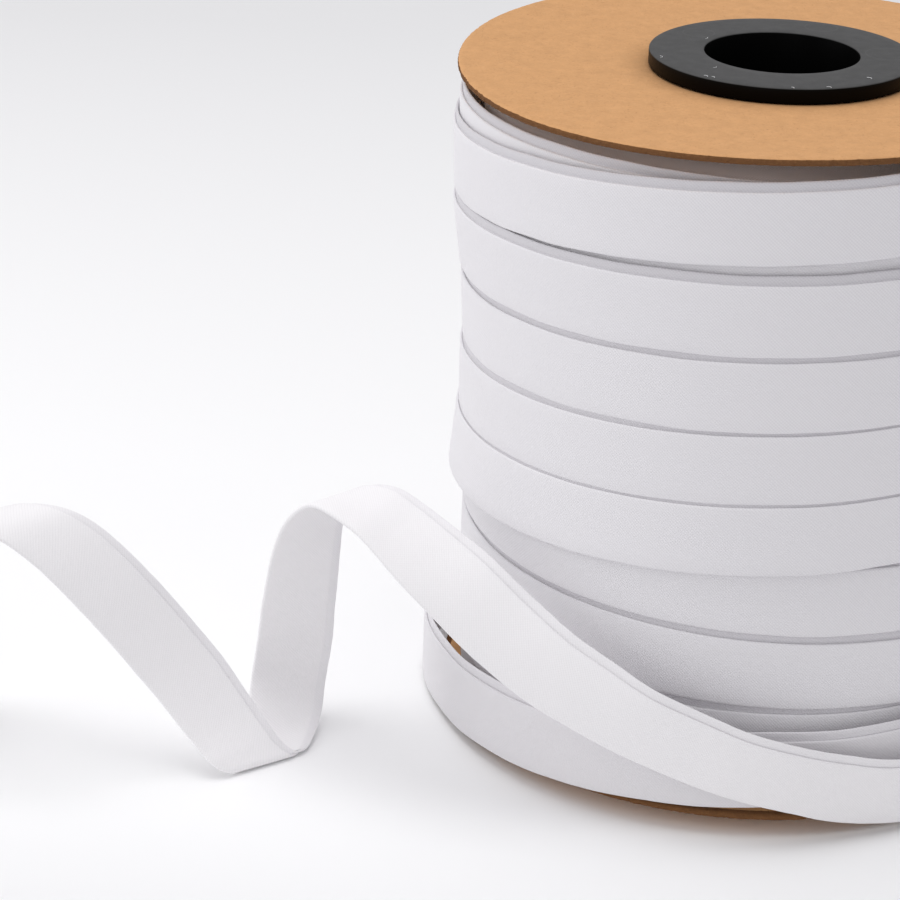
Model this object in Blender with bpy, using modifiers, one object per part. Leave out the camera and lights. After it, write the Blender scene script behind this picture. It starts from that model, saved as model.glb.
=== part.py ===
"""A reel of folded bias tape with its loose end off the reel.

Two card flanges sit on a black plastic hub, whose two halves meet in the middle
of the reel. The tape is wound in bands between the flanges. Its last two turns
have slipped down to the table, and the end runs off to the left in two arches.

Lengths in the tables are millimetres. The reel's axis is X = Y = 0 while the
pieces are made, and azimuth is measured from the front (-Y) towards the right.
"""
from math import cos, pi, radians, sin

import bmesh
import bpy
from mathutils import Vector

MM = 0.001

# Flanges, collars and sleeves
FLANGE_R = 62.0 * MM
FLANGE_T = 1.5 * MM
FLANGE_HOLE_R = 19.4 * MM
FLANGE_WARP = 1.6 * MM          # how far two opposite sides of the top rim stand up
WARP_TURN = 45                  # azimuth of one of those sides
FLANGE_STEPS = 96
COLLAR_R = 25.7 * MM
COLLAR_T = 2.9 * MM
SLEEVE_R = 18.4 * MM
BORE_R = 15.0 * MM
HUB_X = 0.6 * MM                # the hub sits a little off the cards' middle
EDGE = 0.4 * MM                 # chamfer on the collar's rim
GAP = 0.3 * MM                  # between pieces that touch on the real reel
REEL_H = 137.7 * MM

# Wound tape
CORE_R = 19.4 * MM
SHOULDER_W = 0.9 * MM           # rounded edge of each band
SHOULDER_D = 0.8 * MM
WOUND_STEPS = 60

# One row for each band that shows, from the top. Bands 1 to 5 are the outer
# layer, wound downwards, so each lies over the foot of the band above it. The
# bands below them were wound upwards, so each lies over the head of the one
# below. left_bulge is how much further a band stands out on its left side, and
# the tilts are its edges' slopes at the front, in mm for each radian, positive
# where the edge rises to the right.
BANDS = [
    dict(top=130.4, low=114.9, top_radius=61.4, low_radius=61.2, left_bulge=1.4, top_tilt=2.0, low_tilt=4.2),
    dict(top=112.6, low=97.6, top_radius=61.1, low_radius=60.6, left_bulge=0.9, top_tilt=2.2, low_tilt=3.4),
    dict(top=97.4, low=82.9, top_radius=60.7, low_radius=60.1, left_bulge=-0.2, top_tilt=3.4, low_tilt=3.4),
    dict(top=82.7, low=68.3, top_radius=60.6, low_radius=59.8, left_bulge=0.1, top_tilt=3.4, low_tilt=3.4),
    dict(top=68.1, low=53.8, top_radius=60.9, low_radius=60.3, left_bulge=0.5, top_tilt=3.4, low_tilt=2.0),
    dict(top=53.2, low=41.4, top_radius=58.6, low_radius=59.2, left_bulge=0.0, top_tilt=1.2, low_tilt=-1.8),
    dict(top=41.2, low=26.2, top_radius=58.6, low_radius=59.2, left_bulge=0.0, top_tilt=-1.8, low_tilt=-2.6),
    dict(top=26.0, low=11.0, top_radius=58.6, low_radius=59.0, left_bulge=0.0, top_tilt=-2.6, low_tilt=-1.4),
]
UNDER_FLANGE_R = 57.5 * MM      # deeper turns in the recess under the top flange

# Loose tape
TAPE_W = 16.2 * MM
TAPE_T = 1.0 * MM
STEPS_A_ROW = 5

# The two slipped turns, from the end of band 5 round to the front right.
# lean is how far the high edge stands outside the low edge.
TURN_ROWS = [
    dict(azimuth=-110, radius=62.2, mid_z=56.8, lean=0.0),
    dict(azimuth=-150, radius=62.2, mid_z=49.5, lean=0.0),
    dict(azimuth=-190, radius=62.2, mid_z=41.0, lean=0.0),
    dict(azimuth=-230, radius=62.2, mid_z=31.0, lean=0.0),
    dict(azimuth=-270, radius=62.2, mid_z=22.5, lean=0.0),
    dict(azimuth=-302, radius=62.2, mid_z=16.8, lean=0.0),
    dict(azimuth=-330, radius=62.2, mid_z=15.0, lean=0.0),
    dict(azimuth=-356, radius=62.3, mid_z=14.4, lean=0.0),
    dict(azimuth=-377, radius=62.9, mid_z=13.2, lean=0.0),
    dict(azimuth=-392, radius=63.1, mid_z=12.1, lean=0.0),
    dict(azimuth=-408, radius=63.2, mid_z=10.6, lean=0.0),
    dict(azimuth=-426, radius=63.7, mid_z=9.3, lean=0.0),
    dict(azimuth=-445, radius=65.6, mid_z=8.6, lean=0.0),
    dict(azimuth=-465, radius=66.4, mid_z=8.5, lean=0.0),
    dict(azimuth=-500, radius=66.2, mid_z=8.4, lean=0.0),
    dict(azimuth=-540, radius=65.6, mid_z=8.4, lean=0.0),
    dict(azimuth=-585, radius=65.2, mid_z=8.4, lean=0.0),
    dict(azimuth=-630, radius=65.0, mid_z=8.4, lean=0.4),
    dict(azimuth=-660, radius=64.8, mid_z=8.4, lean=1.2),
    dict(azimuth=-676, radius=64.9, mid_z=8.7, lean=2.6),
]

# The end that lies free: its low edge and its high edge, x, y, z.
FREE_ROWS = [
    dict(low=(34, -54, 1.5), high=(33, -58, 17)),        # front right
    dict(low=(22, -60, 4), high=(22, -62.5, 19)),
    dict(low=(12.5, -63.3, 7), high=(12.5, -66, 22)),
    dict(low=(3, -65, 9.5), high=(4, -67.5, 24.5)),
    dict(low=(-9, -65.5, 13), high=(-5, -67.5, 28.5)),
    dict(low=(-20, -65.5, 17.5), high=(-14.5, -67, 32)),
    dict(low=(-30, -65, 22), high=(-22.5, -64.5, 36)),
    dict(low=(-39, -64, 26.5), high=(-30.5, -61.5, 40)),
    dict(low=(-48, -62.5, 32.5), high=(-38, -57.5, 44.5)),
    dict(low=(-56, -60.5, 39), high=(-46, -53, 50)),
    dict(low=(-63, -58, 45), high=(-54, -47.5, 53)),
    dict(low=(-69, -55, 50), high=(-61.5, -42, 55.5)),
    dict(low=(-75, -52, 54), high=(-68, -37.5, 57)),     # top of the first arch
    dict(low=(-83, -47.5, 56), high=(-74.5, -33.5, 54.5)),
    dict(low=(-89, -43, 50), high=(-79, -30, 46.5)),
    dict(low=(-92.5, -38.5, 40), high=(-80.5, -28, 37)),
    dict(low=(-95, -34.5, 29), high=(-81.5, -25.5, 26.5)),
    dict(low=(-96.5, -32, 18), high=(-82.5, -24.5, 16)),
    dict(low=(-97.5, -34, 8.5), high=(-83.5, -26.5, 7)),
    dict(low=(-97, -43, 2), high=(-83.5, -34.5, 1.8)),
    dict(low=(-97, -55, 0.8), high=(-84.5, -45, 0.8)),   # bend on the table
    dict(low=(-100.5, -58, 3), high=(-88.5, -46.5, 3.5)),
    dict(low=(-105.5, -57, 8), high=(-94.5, -45, 11)),
    dict(low=(-112, -56.5, 16), high=(-101, -45, 21)),
    dict(low=(-119.5, -58, 26.5), high=(-108.5, -46.5, 31.5)),
    dict(low=(-127, -60, 37), high=(-116, -48.5, 41.5)),
    dict(low=(-135, -61.5, 46), high=(-124, -49.5, 49.5)),
    dict(low=(-143, -61.5, 51.5), high=(-132, -49.5, 53)),   # top of the second arch
    dict(low=(-152, -59, 52), high=(-141, -46.5, 51)),
    dict(low=(-160, -54.5, 45), high=(-148, -43, 43)),
    dict(low=(-165.5, -49.5, 34), high=(-152.5, -39, 32)),
    dict(low=(-168.5, -45.5, 21), high=(-155, -36, 19)),
    dict(low=(-170, -45, 9), high=(-156, -36.5, 7.5)),
    dict(low=(-171, -52, 2), high=(-156.5, -44, 1.8)),
    dict(low=(-172, -62, 0.8), high=(-157, -55, 0.8)),
    dict(low=(-174, -75, 0.8), high=(-158.5, -69, 0.8)),     # cut end
]

KRAFT = dict(color=(0.62, 0.38, 0.20, 1.0), roughness=0.85)
BLACK = dict(color=(0.012, 0.012, 0.013, 1.0), roughness=0.35)
WHITE = dict(color=(0.86, 0.87, 0.89, 1.0), roughness=0.9)


def clear_scene():
    for old in list(bpy.data.objects):
        bpy.data.objects.remove(old, do_unlink=True)


def material(name, color, roughness):
    made = bpy.data.materials.new(name)
    made.use_nodes = True
    shader = made.node_tree.nodes["Principled BSDF"]
    shader.inputs["Base Color"].default_value = color
    shader.inputs["Roughness"].default_value = roughness
    made.diffuse_color = color
    return made


def add_object(name, mesh, look, collection):
    mesh.materials.append(look)
    made = bpy.data.objects.new(name, mesh)
    collection.objects.link(made)
    return made


def turned(name, profile, steps, look, collection):
    """A ring turned from a closed (radius, height) profile."""
    mesh = bpy.data.meshes.new(name)
    points = [(radius, 0.0, height) for radius, height in profile]
    edges = [(i, (i + 1) % len(points)) for i in range(len(points))]
    mesh.from_pydata(points, edges, [])
    made = add_object(name, mesh, look, collection)
    screw = made.modifiers.new("turn", "SCREW")
    screw.angle = 2.0 * pi
    screw.steps = steps
    screw.render_steps = steps
    screw.use_merge_vertices = True
    screw.merge_threshold = 0.00001
    screw.use_smooth_shade = False
    return made


def hub_half(name, collar_outer_z, sleeve_end_z, look, collection):
    """A collar with its sleeve, which stands into the reel from either end."""
    inward = 1.0 if sleeve_end_z > collar_outer_z else -1.0
    collar_inner_z = collar_outer_z + inward * COLLAR_T
    profile = [
        (COLLAR_R - EDGE, collar_outer_z),
        (COLLAR_R, collar_outer_z + inward * EDGE),
        (COLLAR_R, collar_inner_z),
        (SLEEVE_R, collar_inner_z),
        (SLEEVE_R, sleeve_end_z),
        (BORE_R, sleeve_end_z),
        (BORE_R, collar_outer_z + inward * EDGE),
        (BORE_R + EDGE, collar_outer_z),
    ]
    if inward > 0:
        profile.reverse()
    made = turned(name, profile, 48, look, collection)
    made.location.x = HUB_X
    return made


def ring_of_rows(name, rows, steps, look, collection):
    """A closed ring from rows of equal length, each a loop round the axis."""
    shape = bmesh.new()
    rings = [[shape.verts.new(point) for point in row] for row in rows]
    for upper, lower in zip(rings, rings[1:] + rings[:1]):
        for step in range(steps):
            after = (step + 1) % steps
            shape.faces.new((upper[step], lower[step], lower[after], upper[after]))
    shape.normal_update()
    mesh = bpy.data.meshes.new(name)
    shape.to_mesh(mesh)
    shape.free()
    return add_object(name, mesh, look, collection)


def flange(name, low_z, warp, look, collection):
    """A card disc, flat under the collar, whose rim may stand up on two sides."""
    seat = COLLAR_R + 1.5 * MM
    rows = []
    for radius, z in (
        (FLANGE_HOLE_R, low_z + FLANGE_T), (seat, low_z + FLANGE_T),
        (0.5 * (seat + FLANGE_R), low_z + FLANGE_T), (FLANGE_R, low_z + FLANGE_T),
        (FLANGE_R, low_z), (0.5 * (seat + FLANGE_R), low_z), (seat, low_z), (FLANGE_HOLE_R, low_z),
    ):
        rise = warp * (max(0.0, radius - seat) / (FLANGE_R - seat)) ** 2
        row = []
        for step in range(FLANGE_STEPS):
            azimuth = 2.0 * pi * step / FLANGE_STEPS
            up = rise * cos(azimuth - radians(WARP_TURN)) ** 2
            row.append((radius * sin(azimuth), -radius * cos(azimuth), z + up))
        rows.append(row)
    return ring_of_rows(name, rows, FLANGE_STEPS, look, collection)


def wound_rows(low_z, top_z):
    """The winding's outer rows from the top: height, radius, bulge and tilt."""
    rows = [dict(z=top_z, radius=UNDER_FLANGE_R, bulge=0.0, tilt=0.0)]
    for band in BANDS:
        top, low = band["top"] * MM, band["low"] * MM
        top_radius, low_radius = band["top_radius"] * MM, band["low_radius"] * MM
        for z, radius, tilt in (
            (top, top_radius - SHOULDER_D, band["top_tilt"]),
            (top - SHOULDER_W, top_radius, band["top_tilt"]),
            (low + SHOULDER_W, low_radius, band["low_tilt"]),
            (low, low_radius - SHOULDER_D, band["low_tilt"]),
        ):
            rows.append(dict(z=z, radius=radius, bulge=band["left_bulge"] * MM, tilt=tilt * MM))
    rows.append(dict(z=low_z, radius=UNDER_FLANGE_R, bulge=0.0, tilt=0.0))
    return rows


def winding(name, low_z, top_z, look, collection):
    """The wound pack: a ring whose outer rows follow the bands' tilted edges."""
    rows = wound_rows(low_z, top_z)
    rows.append(dict(z=low_z, radius=CORE_R, bulge=0.0, tilt=0.0))
    rows.append(dict(z=top_z, radius=CORE_R, bulge=0.0, tilt=0.0))
    loops = []
    for row in rows:
        points = []
        for step in range(WOUND_STEPS):
            azimuth = 2.0 * pi * step / WOUND_STEPS
            leftness = max(0.0, -sin(azimuth)) ** 2
            radius = row["radius"] + row["bulge"] * leftness
            z = row["z"] + row["tilt"] * sin(azimuth)
            points.append((radius * sin(azimuth), -radius * cos(azimuth), z))
        loops.append(points)
    return ring_of_rows(name, loops, WOUND_STEPS, look, collection)


def turn_edges(azimuth, radius, mid_z, lean):
    """The low and high edge points of the tape on a turn round the reel."""
    azimuth, lean = radians(azimuth), lean * MM / 2.0
    outward = Vector((sin(azimuth), -cos(azimuth), 0.0))
    rise = (TAPE_W * TAPE_W / 4.0 - lean * lean) ** 0.5
    mid = outward * radius * MM + Vector((0.0, 0.0, mid_z * MM))
    half = outward * lean + Vector((0.0, 0.0, rise))
    return mid - half, mid + half


def between(before, start, end, after, t):
    """Catmull-Rom curve from start to end."""
    return 0.5 * (
        2.0 * start
        + (end - before) * t
        + (2.0 * before - 5.0 * start + 4.0 * end - after) * t * t
        + (3.0 * start - before - 3.0 * end + after) * t * t * t
    )


def smooth_path(points, steps):
    ends = [2.0 * points[0] - points[1]] + points + [2.0 * points[-1] - points[-2]]
    path = []
    for i in range(len(points) - 1):
        for step in range(steps):
            path.append(between(*ends[i:i + 4], step / steps))
    path.append(points[-1].copy())
    return path


def tape_sections():
    """Centre points and across directions along the loose tape."""
    turns = [Vector((row["azimuth"], row["radius"], row["mid_z"], row["lean"])) for row in TURN_ROWS]
    pairs = [turn_edges(*values) for values in smooth_path(turns, STEPS_A_ROW)]
    sections = [((low + high) / 2.0, (high - low).normalized()) for low, high in pairs]

    # The free rows carry on from the last two rows of the turns.
    pairs = [turn_edges(*values) for values in turns[-2:]]
    pairs += [(Vector(row["low"]) * MM, Vector(row["high"]) * MM) for row in FREE_ROWS]
    centres = smooth_path([(low + high) / 2.0 for low, high in pairs], STEPS_A_ROW)
    acrosses = smooth_path([(high - low).normalized() for low, high in pairs], STEPS_A_ROW)
    for centre, across in list(zip(centres, acrosses))[STEPS_A_ROW + 1:]:
        sections.append((centre, across.normalized()))
    return sections


def loose_tape(name, look, collection):
    shape = bmesh.new()
    before = None
    for centre, across in tape_sections():
        low = shape.verts.new(centre - across * TAPE_W / 2.0)
        high = shape.verts.new(centre + across * TAPE_W / 2.0)
        if before:
            shape.faces.new((before[0], before[1], high, low))
        before = (low, high)
    mesh = bpy.data.meshes.new(name)
    shape.to_mesh(mesh)
    shape.free()
    made = add_object(name, mesh, look, collection)
    thick = made.modifiers.new("layers", "SOLIDIFY")
    thick.thickness = TAPE_T
    thick.offset = 0.0
    return made


def stand_on_origin(objects):
    """Move every piece so that the bounding box's bottom centre is the origin."""
    graph = bpy.context.evaluated_depsgraph_get()
    corners = []
    for piece in objects:
        solid = piece.evaluated_get(graph)
        mesh = solid.to_mesh()
        corners += [solid.matrix_world @ vert.co for vert in mesh.vertices]
        solid.to_mesh_clear()
    low = [min(corner[axis] for corner in corners) for axis in range(3)]
    high = [max(corner[axis] for corner in corners) for axis in range(3)]
    middle = Vector(((low[0] + high[0]) / 2.0, (low[1] + high[1]) / 2.0, low[2]))
    for piece in objects:
        piece.location -= middle
    print("reel axis at", [round(-value, 5) for value in middle])
    print("size", [round(high[axis] - low[axis], 4) for axis in range(3)])


def main():
    clear_scene()
    reel = bpy.data.collections.new("bias_tape_reel")
    bpy.context.scene.collection.children.link(reel)
    kraft = material("kraft_card", **KRAFT)
    black = material("black_plastic", **BLACK)
    white = material("white_tape", **WHITE)

    low_flange_z = COLLAR_T + GAP
    top_flange_z = REEL_H - COLLAR_T - GAP - FLANGE_T
    middle_z = REEL_H / 2.0
    hub_half("hub_bottom", 0.0, middle_z - GAP / 2.0, black, reel)
    hub_half("hub_top", REEL_H, middle_z + GAP / 2.0, black, reel)
    flange("flange_bottom", low_flange_z, 0.0, kraft, reel)
    flange("flange_top", top_flange_z, FLANGE_WARP, kraft, reel)
    winding("tape_winding", low_flange_z + FLANGE_T + GAP, top_flange_z - GAP, white, reel)
    loose_tape("tape_tail", white, reel)
    stand_on_origin(list(reel.objects))


main()
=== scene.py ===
# %% [markdown]
# # A reel of folded bias tape
# The real object is a stiff little reel: two discs of brown card, a black
# plastic hub in two halves, and a long strip of white cotton, cut on the bias
# and folded over twice, wound round it. The last turns have slipped down and
# the loose end springs away from the reel in two arches.
#
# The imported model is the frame. It gives the true places, and every fine piece
# below either replaces one of its nodes or sits on one.

# %% Load the frame
from math import cos, pi, radians, sin

import bmesh
import bpy
from mathutils import Matrix, Vector, noise


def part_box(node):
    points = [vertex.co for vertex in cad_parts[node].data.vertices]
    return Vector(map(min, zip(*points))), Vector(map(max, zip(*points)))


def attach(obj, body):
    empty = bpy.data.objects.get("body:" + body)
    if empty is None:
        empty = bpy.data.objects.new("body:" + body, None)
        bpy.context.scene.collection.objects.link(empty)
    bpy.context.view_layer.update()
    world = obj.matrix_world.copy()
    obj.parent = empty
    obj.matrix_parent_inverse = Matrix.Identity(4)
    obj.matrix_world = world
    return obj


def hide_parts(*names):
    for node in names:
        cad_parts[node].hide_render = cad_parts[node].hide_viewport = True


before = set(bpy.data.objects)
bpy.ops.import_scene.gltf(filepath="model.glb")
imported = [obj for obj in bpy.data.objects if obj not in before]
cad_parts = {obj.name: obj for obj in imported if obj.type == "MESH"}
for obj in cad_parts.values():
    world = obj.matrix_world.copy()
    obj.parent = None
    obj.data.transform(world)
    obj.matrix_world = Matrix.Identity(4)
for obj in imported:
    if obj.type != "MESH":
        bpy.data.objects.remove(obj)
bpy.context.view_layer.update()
print("the frame's nodes:", sorted(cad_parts))

# %% [markdown]
# ## Named places
# Everything turns round the reel's axis, which is the middle of the top card.
# The tables below are in millimetres from that axis, because tape and card are
# bought in millimetres. Each length is multiplied by MM where it is used.

# %% Sizes from the frame
MM = 0.001
card_low, card_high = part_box("flange_top")
AXIS = Vector(((card_low.x + card_high.x) / 2, (card_low.y + card_high.y) / 2, 0.0))
CARD_R = (card_high.x - card_low.x) / 2
CARD_T = 1.5 * MM
REEL_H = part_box("hub_top")[1].z
LOW_CARD_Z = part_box("flange_bottom")[0].z
print("card radius", round(CARD_R, 4), "reel height", round(REEL_H, 4))

# %% [markdown]
# ## The camera
# The photograph was taken from a little above with a long lens. The ellipses
# of the card, collar and bore fix the view: the lens, how far back it stands,
# and how it is turned. Its three turning angles are plain numbers, and the
# camera's own axes are worked out from them.

# %% Place the camera
CAMERA_BACK = 530.9 * MM
CAMERA_UP = 279.3 * MM
CAMERA_LENS = 112.0
CAMERA_DOWN, CAMERA_TURN, CAMERA_ROLL = 0.4065, -0.1161, 0.0258

ahead = Vector((
    sin(CAMERA_TURN) * cos(CAMERA_DOWN),
    cos(CAMERA_TURN) * cos(CAMERA_DOWN),
    -sin(CAMERA_DOWN),
))
level = Vector((cos(CAMERA_TURN), -sin(CAMERA_TURN), 0.0))
upright = level.cross(ahead)
right = cos(CAMERA_ROLL) * level + sin(CAMERA_ROLL) * upright
up = -sin(CAMERA_ROLL) * level + cos(CAMERA_ROLL) * upright

lens = bpy.data.cameras.new("photo_camera")
lens.lens = CAMERA_LENS
lens.sensor_width = 36.0
lens.clip_start = 0.01
camera = bpy.data.objects.new("photo_camera", lens)
turned_to = Matrix((right, up, -ahead)).transposed().to_4x4()
camera.matrix_world = Matrix.Translation(AXIS + Vector((0.0, -CAMERA_BACK, CAMERA_UP))) @ turned_to
bpy.context.scene.collection.objects.link(camera)
bpy.context.scene.camera = camera
print("camera at", [round(value, 3) for value in camera.location])

# %% [markdown]
# ## Small helpers
# Three things are done again and again: keeping a mesh as a piece with its
# finish, making a material with its main shader at hand, and adding nodes.

# %% Helpers for pieces and materials
def keep_piece(name, shape, finish, smooth=True):
    """Turn a bmesh into a named object with one finish."""
    shape.normal_update()
    mesh = bpy.data.meshes.new(name)
    shape.to_mesh(mesh)
    shape.free()
    mesh.materials.append(finish)
    for face in mesh.polygons:
        face.use_smooth = smooth
    piece = bpy.data.objects.new(name, mesh)
    bpy.context.scene.collection.objects.link(piece)
    print(name, "has", len(mesh.polygons), "faces")
    return piece


def new_material(name, color, roughness):
    """A material with its Principled BSDF set to a plain start."""
    made = bpy.data.materials.new(name)
    made.use_nodes = True
    shader = made.node_tree.nodes["Principled BSDF"]
    shader.inputs["Base Color"].default_value = (*color, 1.0)
    shader.inputs["Roughness"].default_value = roughness
    return made, made.node_tree, shader


def add_node(tree, kind, **settings):
    node = tree.nodes.new(kind)
    for key, value in settings.items():
        setattr(node, key, value)
    return node


def new_group(name, inputs, outputs):
    """A shader node group with named sockets; returns it with its two ends."""
    group = bpy.data.node_groups.new(name, "ShaderNodeTree")
    for socket, kind, value in inputs:
        made = group.interface.new_socket(name=socket, in_out="INPUT", socket_type=kind)
        if value is not None:
            made.default_value = value
    for socket, kind in outputs:
        group.interface.new_socket(name=socket, in_out="OUTPUT", socket_type=kind)
    return group, add_node(group, "NodeGroupInput"), add_node(group, "NodeGroupOutput")


def do_math(tree, operation, first, second=None, clamp=False):
    """One Math node; each input is a socket or a number."""
    node = add_node(tree, "ShaderNodeMath", operation=operation, use_clamp=clamp)
    for index, value in enumerate((first, second)):
        if value is None:
            continue
        if isinstance(value, (int, float)):
            node.inputs[index].default_value = value
        else:
            tree.links.new(value, node.inputs[index])
    return node.outputs[0]


# %% [markdown]
# ## The weave group
# Bias tape is plain-woven cotton cut at 45 degrees, so its yarns cross the
# strip on both diagonals. Two rows of ribs at right angles, turned by 45
# degrees, give the tiny bumps. One diagonal is made the stronger one, because
# that is what the photograph shows. The strip's map holds real metres, so the
# yarns keep their pitch of about half a millimetre wherever the tape bends. A
# slow noise makes some yarns thicker, as in real cotton.

# %% Build the weave group
RIB_SHARES = (1.3, 0.7)            # how much each diagonal stands out

weave, weave_in, weave_out = new_group(
    "bias_weave",
    [
        ("Map", "NodeSocketVector", None),
        ("Yarns a Metre", "NodeSocketFloat", 2200.0),
        ("Slub", "NodeSocketFloat", 0.35),
    ],
    [("Height", "NodeSocketFloat"), ("Shade", "NodeSocketFloat")],
)
weave_turn = add_node(weave, "ShaderNodeVectorRotate", rotation_type="Z_AXIS")
weave_turn.inputs["Angle"].default_value = radians(45.0)
weave.links.new(weave_in.outputs["Map"], weave_turn.inputs["Vector"])
weave_split = add_node(weave, "ShaderNodeSeparateXYZ")
weave.links.new(weave_turn.outputs[0], weave_split.inputs[0])
ribs = []
for side, share in zip(("X", "Y"), RIB_SHARES):
    yarns = do_math(weave, "MULTIPLY", weave_split.outputs[side], weave_in.outputs["Yarns a Metre"])
    wave = do_math(weave, "SINE", do_math(weave, "MULTIPLY", yarns, pi))
    ribs.append(do_math(weave, "MULTIPLY", do_math(weave, "ABSOLUTE", wave), share))
crossing = do_math(weave, "SUBTRACT", do_math(weave, "ADD", *ribs), 1.0)
raised = do_math(weave, "ADD", do_math(weave, "MULTIPLY", crossing, 0.5), 0.5)

slub = add_node(weave, "ShaderNodeTexNoise", noise_dimensions="3D")
slub.inputs["Scale"].default_value = 700.0
slub.inputs["Detail"].default_value = 2.0
weave.links.new(weave_turn.outputs[0], slub.inputs["Vector"])
slub_swing = do_math(weave, "SUBTRACT", slub.outputs[0], 0.5)
uneven = do_math(weave, "MULTIPLY", slub_swing, weave_in.outputs["Slub"])
weave.links.new(do_math(weave, "ADD", raised, uneven, clamp=True), weave_out.inputs["Height"])
weave.links.new(raised, weave_out.inputs["Shade"])
print("weave group:", len(weave.nodes), "nodes")

# %% [markdown]
# ## The tape's finish
# White cotton scatters nearly all the light, and a touch of sheen softens its
# edges. The weave's shade darkens the hollows between yarns a little.
#
# Three tones are painted on, to come near the photograph, and all three are painted light and shade. The
# single back leaf is darker than the folded front: painted shade, where the fold of the turn above overhangs
# the recessed leaf. The loose turns that lie against the reel are greyer than the free end: painted shade,
# low at the reel's foot. The loose tape is lighter than the wound: painted light, where its free end faces
# up and forward into the light.

# %% Cotton material
# Past the crease the single back leaf is given a painted shade, where the fold of the turn above overhangs
# it.
CREASE_SPOT = 5.9 * MM             # where the single back leaf begins, from the tape's middle
CREASE_SHARPNESS = 3000.0          # the tint is full a third of a millimetre past it
TURN_FADE = 12.0                   # the greyer turns fade out over 1/12 of a metre
# This grey is painted shade on the loose turns that lie low against the reel.
TURN_SHADE = (0.85, 0.845, 0.855)
YARN_DEPTH = 0.08 * MM


def cotton_material(name, color, hollow, back_leaf_shade, shaded_to, bump_strength):
    """Cotton for one run of tape. The back leaf colour is painted shade on the strip past the crease, and
    the first metres, up to the given length, are painted a shade greyer, also painted shade."""
    made, tree, shader = new_material(name, color, 0.82)
    shader.inputs["Sheen Weight"].default_value = 0.25
    shader.inputs["Sheen Roughness"].default_value = 0.5
    shader.inputs["Specular IOR Level"].default_value = 0.25
    strip_map = add_node(tree, "ShaderNodeUVMap", uv_map="tape_metres")
    cloth = add_node(tree, "ShaderNodeGroup", node_tree=weave)
    tree.links.new(strip_map.outputs[0], cloth.inputs["Map"])
    yarn = add_node(tree, "ShaderNodeMix", data_type="RGBA")
    yarn.inputs["A"].default_value = (*hollow, 1.0)
    yarn.inputs["B"].default_value = (*color, 1.0)
    tree.links.new(cloth.outputs["Shade"], yarn.inputs["Factor"])
    leaf_shade_mix = add_node(tree, "ShaderNodeMix", data_type="RGBA", blend_type="MULTIPLY")
    leaf_shade_mix.inputs["B"].default_value = (*back_leaf_shade, 1.0)
    across = add_node(tree, "ShaderNodeSeparateXYZ")
    tree.links.new(strip_map.outputs[0], across.inputs[0])
    past_crease = do_math(tree, "SUBTRACT", across.outputs["Y"], CREASE_SPOT)
    single_leaf = do_math(tree, "MULTIPLY", past_crease, CREASE_SHARPNESS, clamp=True)
    tree.links.new(single_leaf, leaf_shade_mix.inputs["Factor"])
    tree.links.new(yarn.outputs["Result"], leaf_shade_mix.inputs["A"])
    turn_shade_mix = add_node(tree, "ShaderNodeMix", data_type="RGBA", blend_type="MULTIPLY")
    turn_shade_mix.inputs["B"].default_value = (*TURN_SHADE, 1.0)
    before_free = do_math(tree, "SUBTRACT", shaded_to, across.outputs["X"])
    near_reel = do_math(tree, "MULTIPLY", before_free, TURN_FADE, clamp=True)
    tree.links.new(near_reel, turn_shade_mix.inputs["Factor"])
    tree.links.new(leaf_shade_mix.outputs["Result"], turn_shade_mix.inputs["A"])
    tree.links.new(turn_shade_mix.outputs["Result"], shader.inputs["Base Color"])
    bump = add_node(tree, "ShaderNodeBump")
    bump.inputs["Strength"].default_value = bump_strength
    bump.inputs["Distance"].default_value = YARN_DEPTH
    tree.links.new(cloth.outputs["Height"], bump.inputs["Height"])
    tree.links.new(bump.outputs[0], shader.inputs["Normal"])
    return made


cotton = cotton_material(
    "white_bias_cotton",
    color=(0.84, 0.825, 0.85), hollow=(0.75, 0.735, 0.76), back_leaf_shade=(0.82, 0.815, 0.825),
    shaded_to=-1.0, bump_strength=0.6,
)
# The loose tape's lighter colour is painted light, where its free end faces up and forward into the light;
# its back leaf gets a lighter painted shade.
loose_cotton = cotton_material(
    "white_loose_cotton_painted_light",
    color=(0.92, 0.905, 0.92), hollow=(0.86, 0.845, 0.86), back_leaf_shade=(0.96, 0.96, 0.965),
    shaded_to=0.6, bump_strength=0.5,
)
print("cotton materials:", cotton.name, loose_cotton.name)

# %% [markdown]
# ## One folded cross-section
# Cut across, the tape is two leaves joined by a fold along its low edge. The
# front leaf is about 1.8 mm narrower than the back leaf, so that one line of
# stitches catches both. That step is why every band shows a double line along
# its top. The section is drawn once, as a loop of points across the tape and
# through its thickness, and swept along every run of tape.

# %% Draw the cross-section
LEAF_STEP = 1.8 * MM


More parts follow.
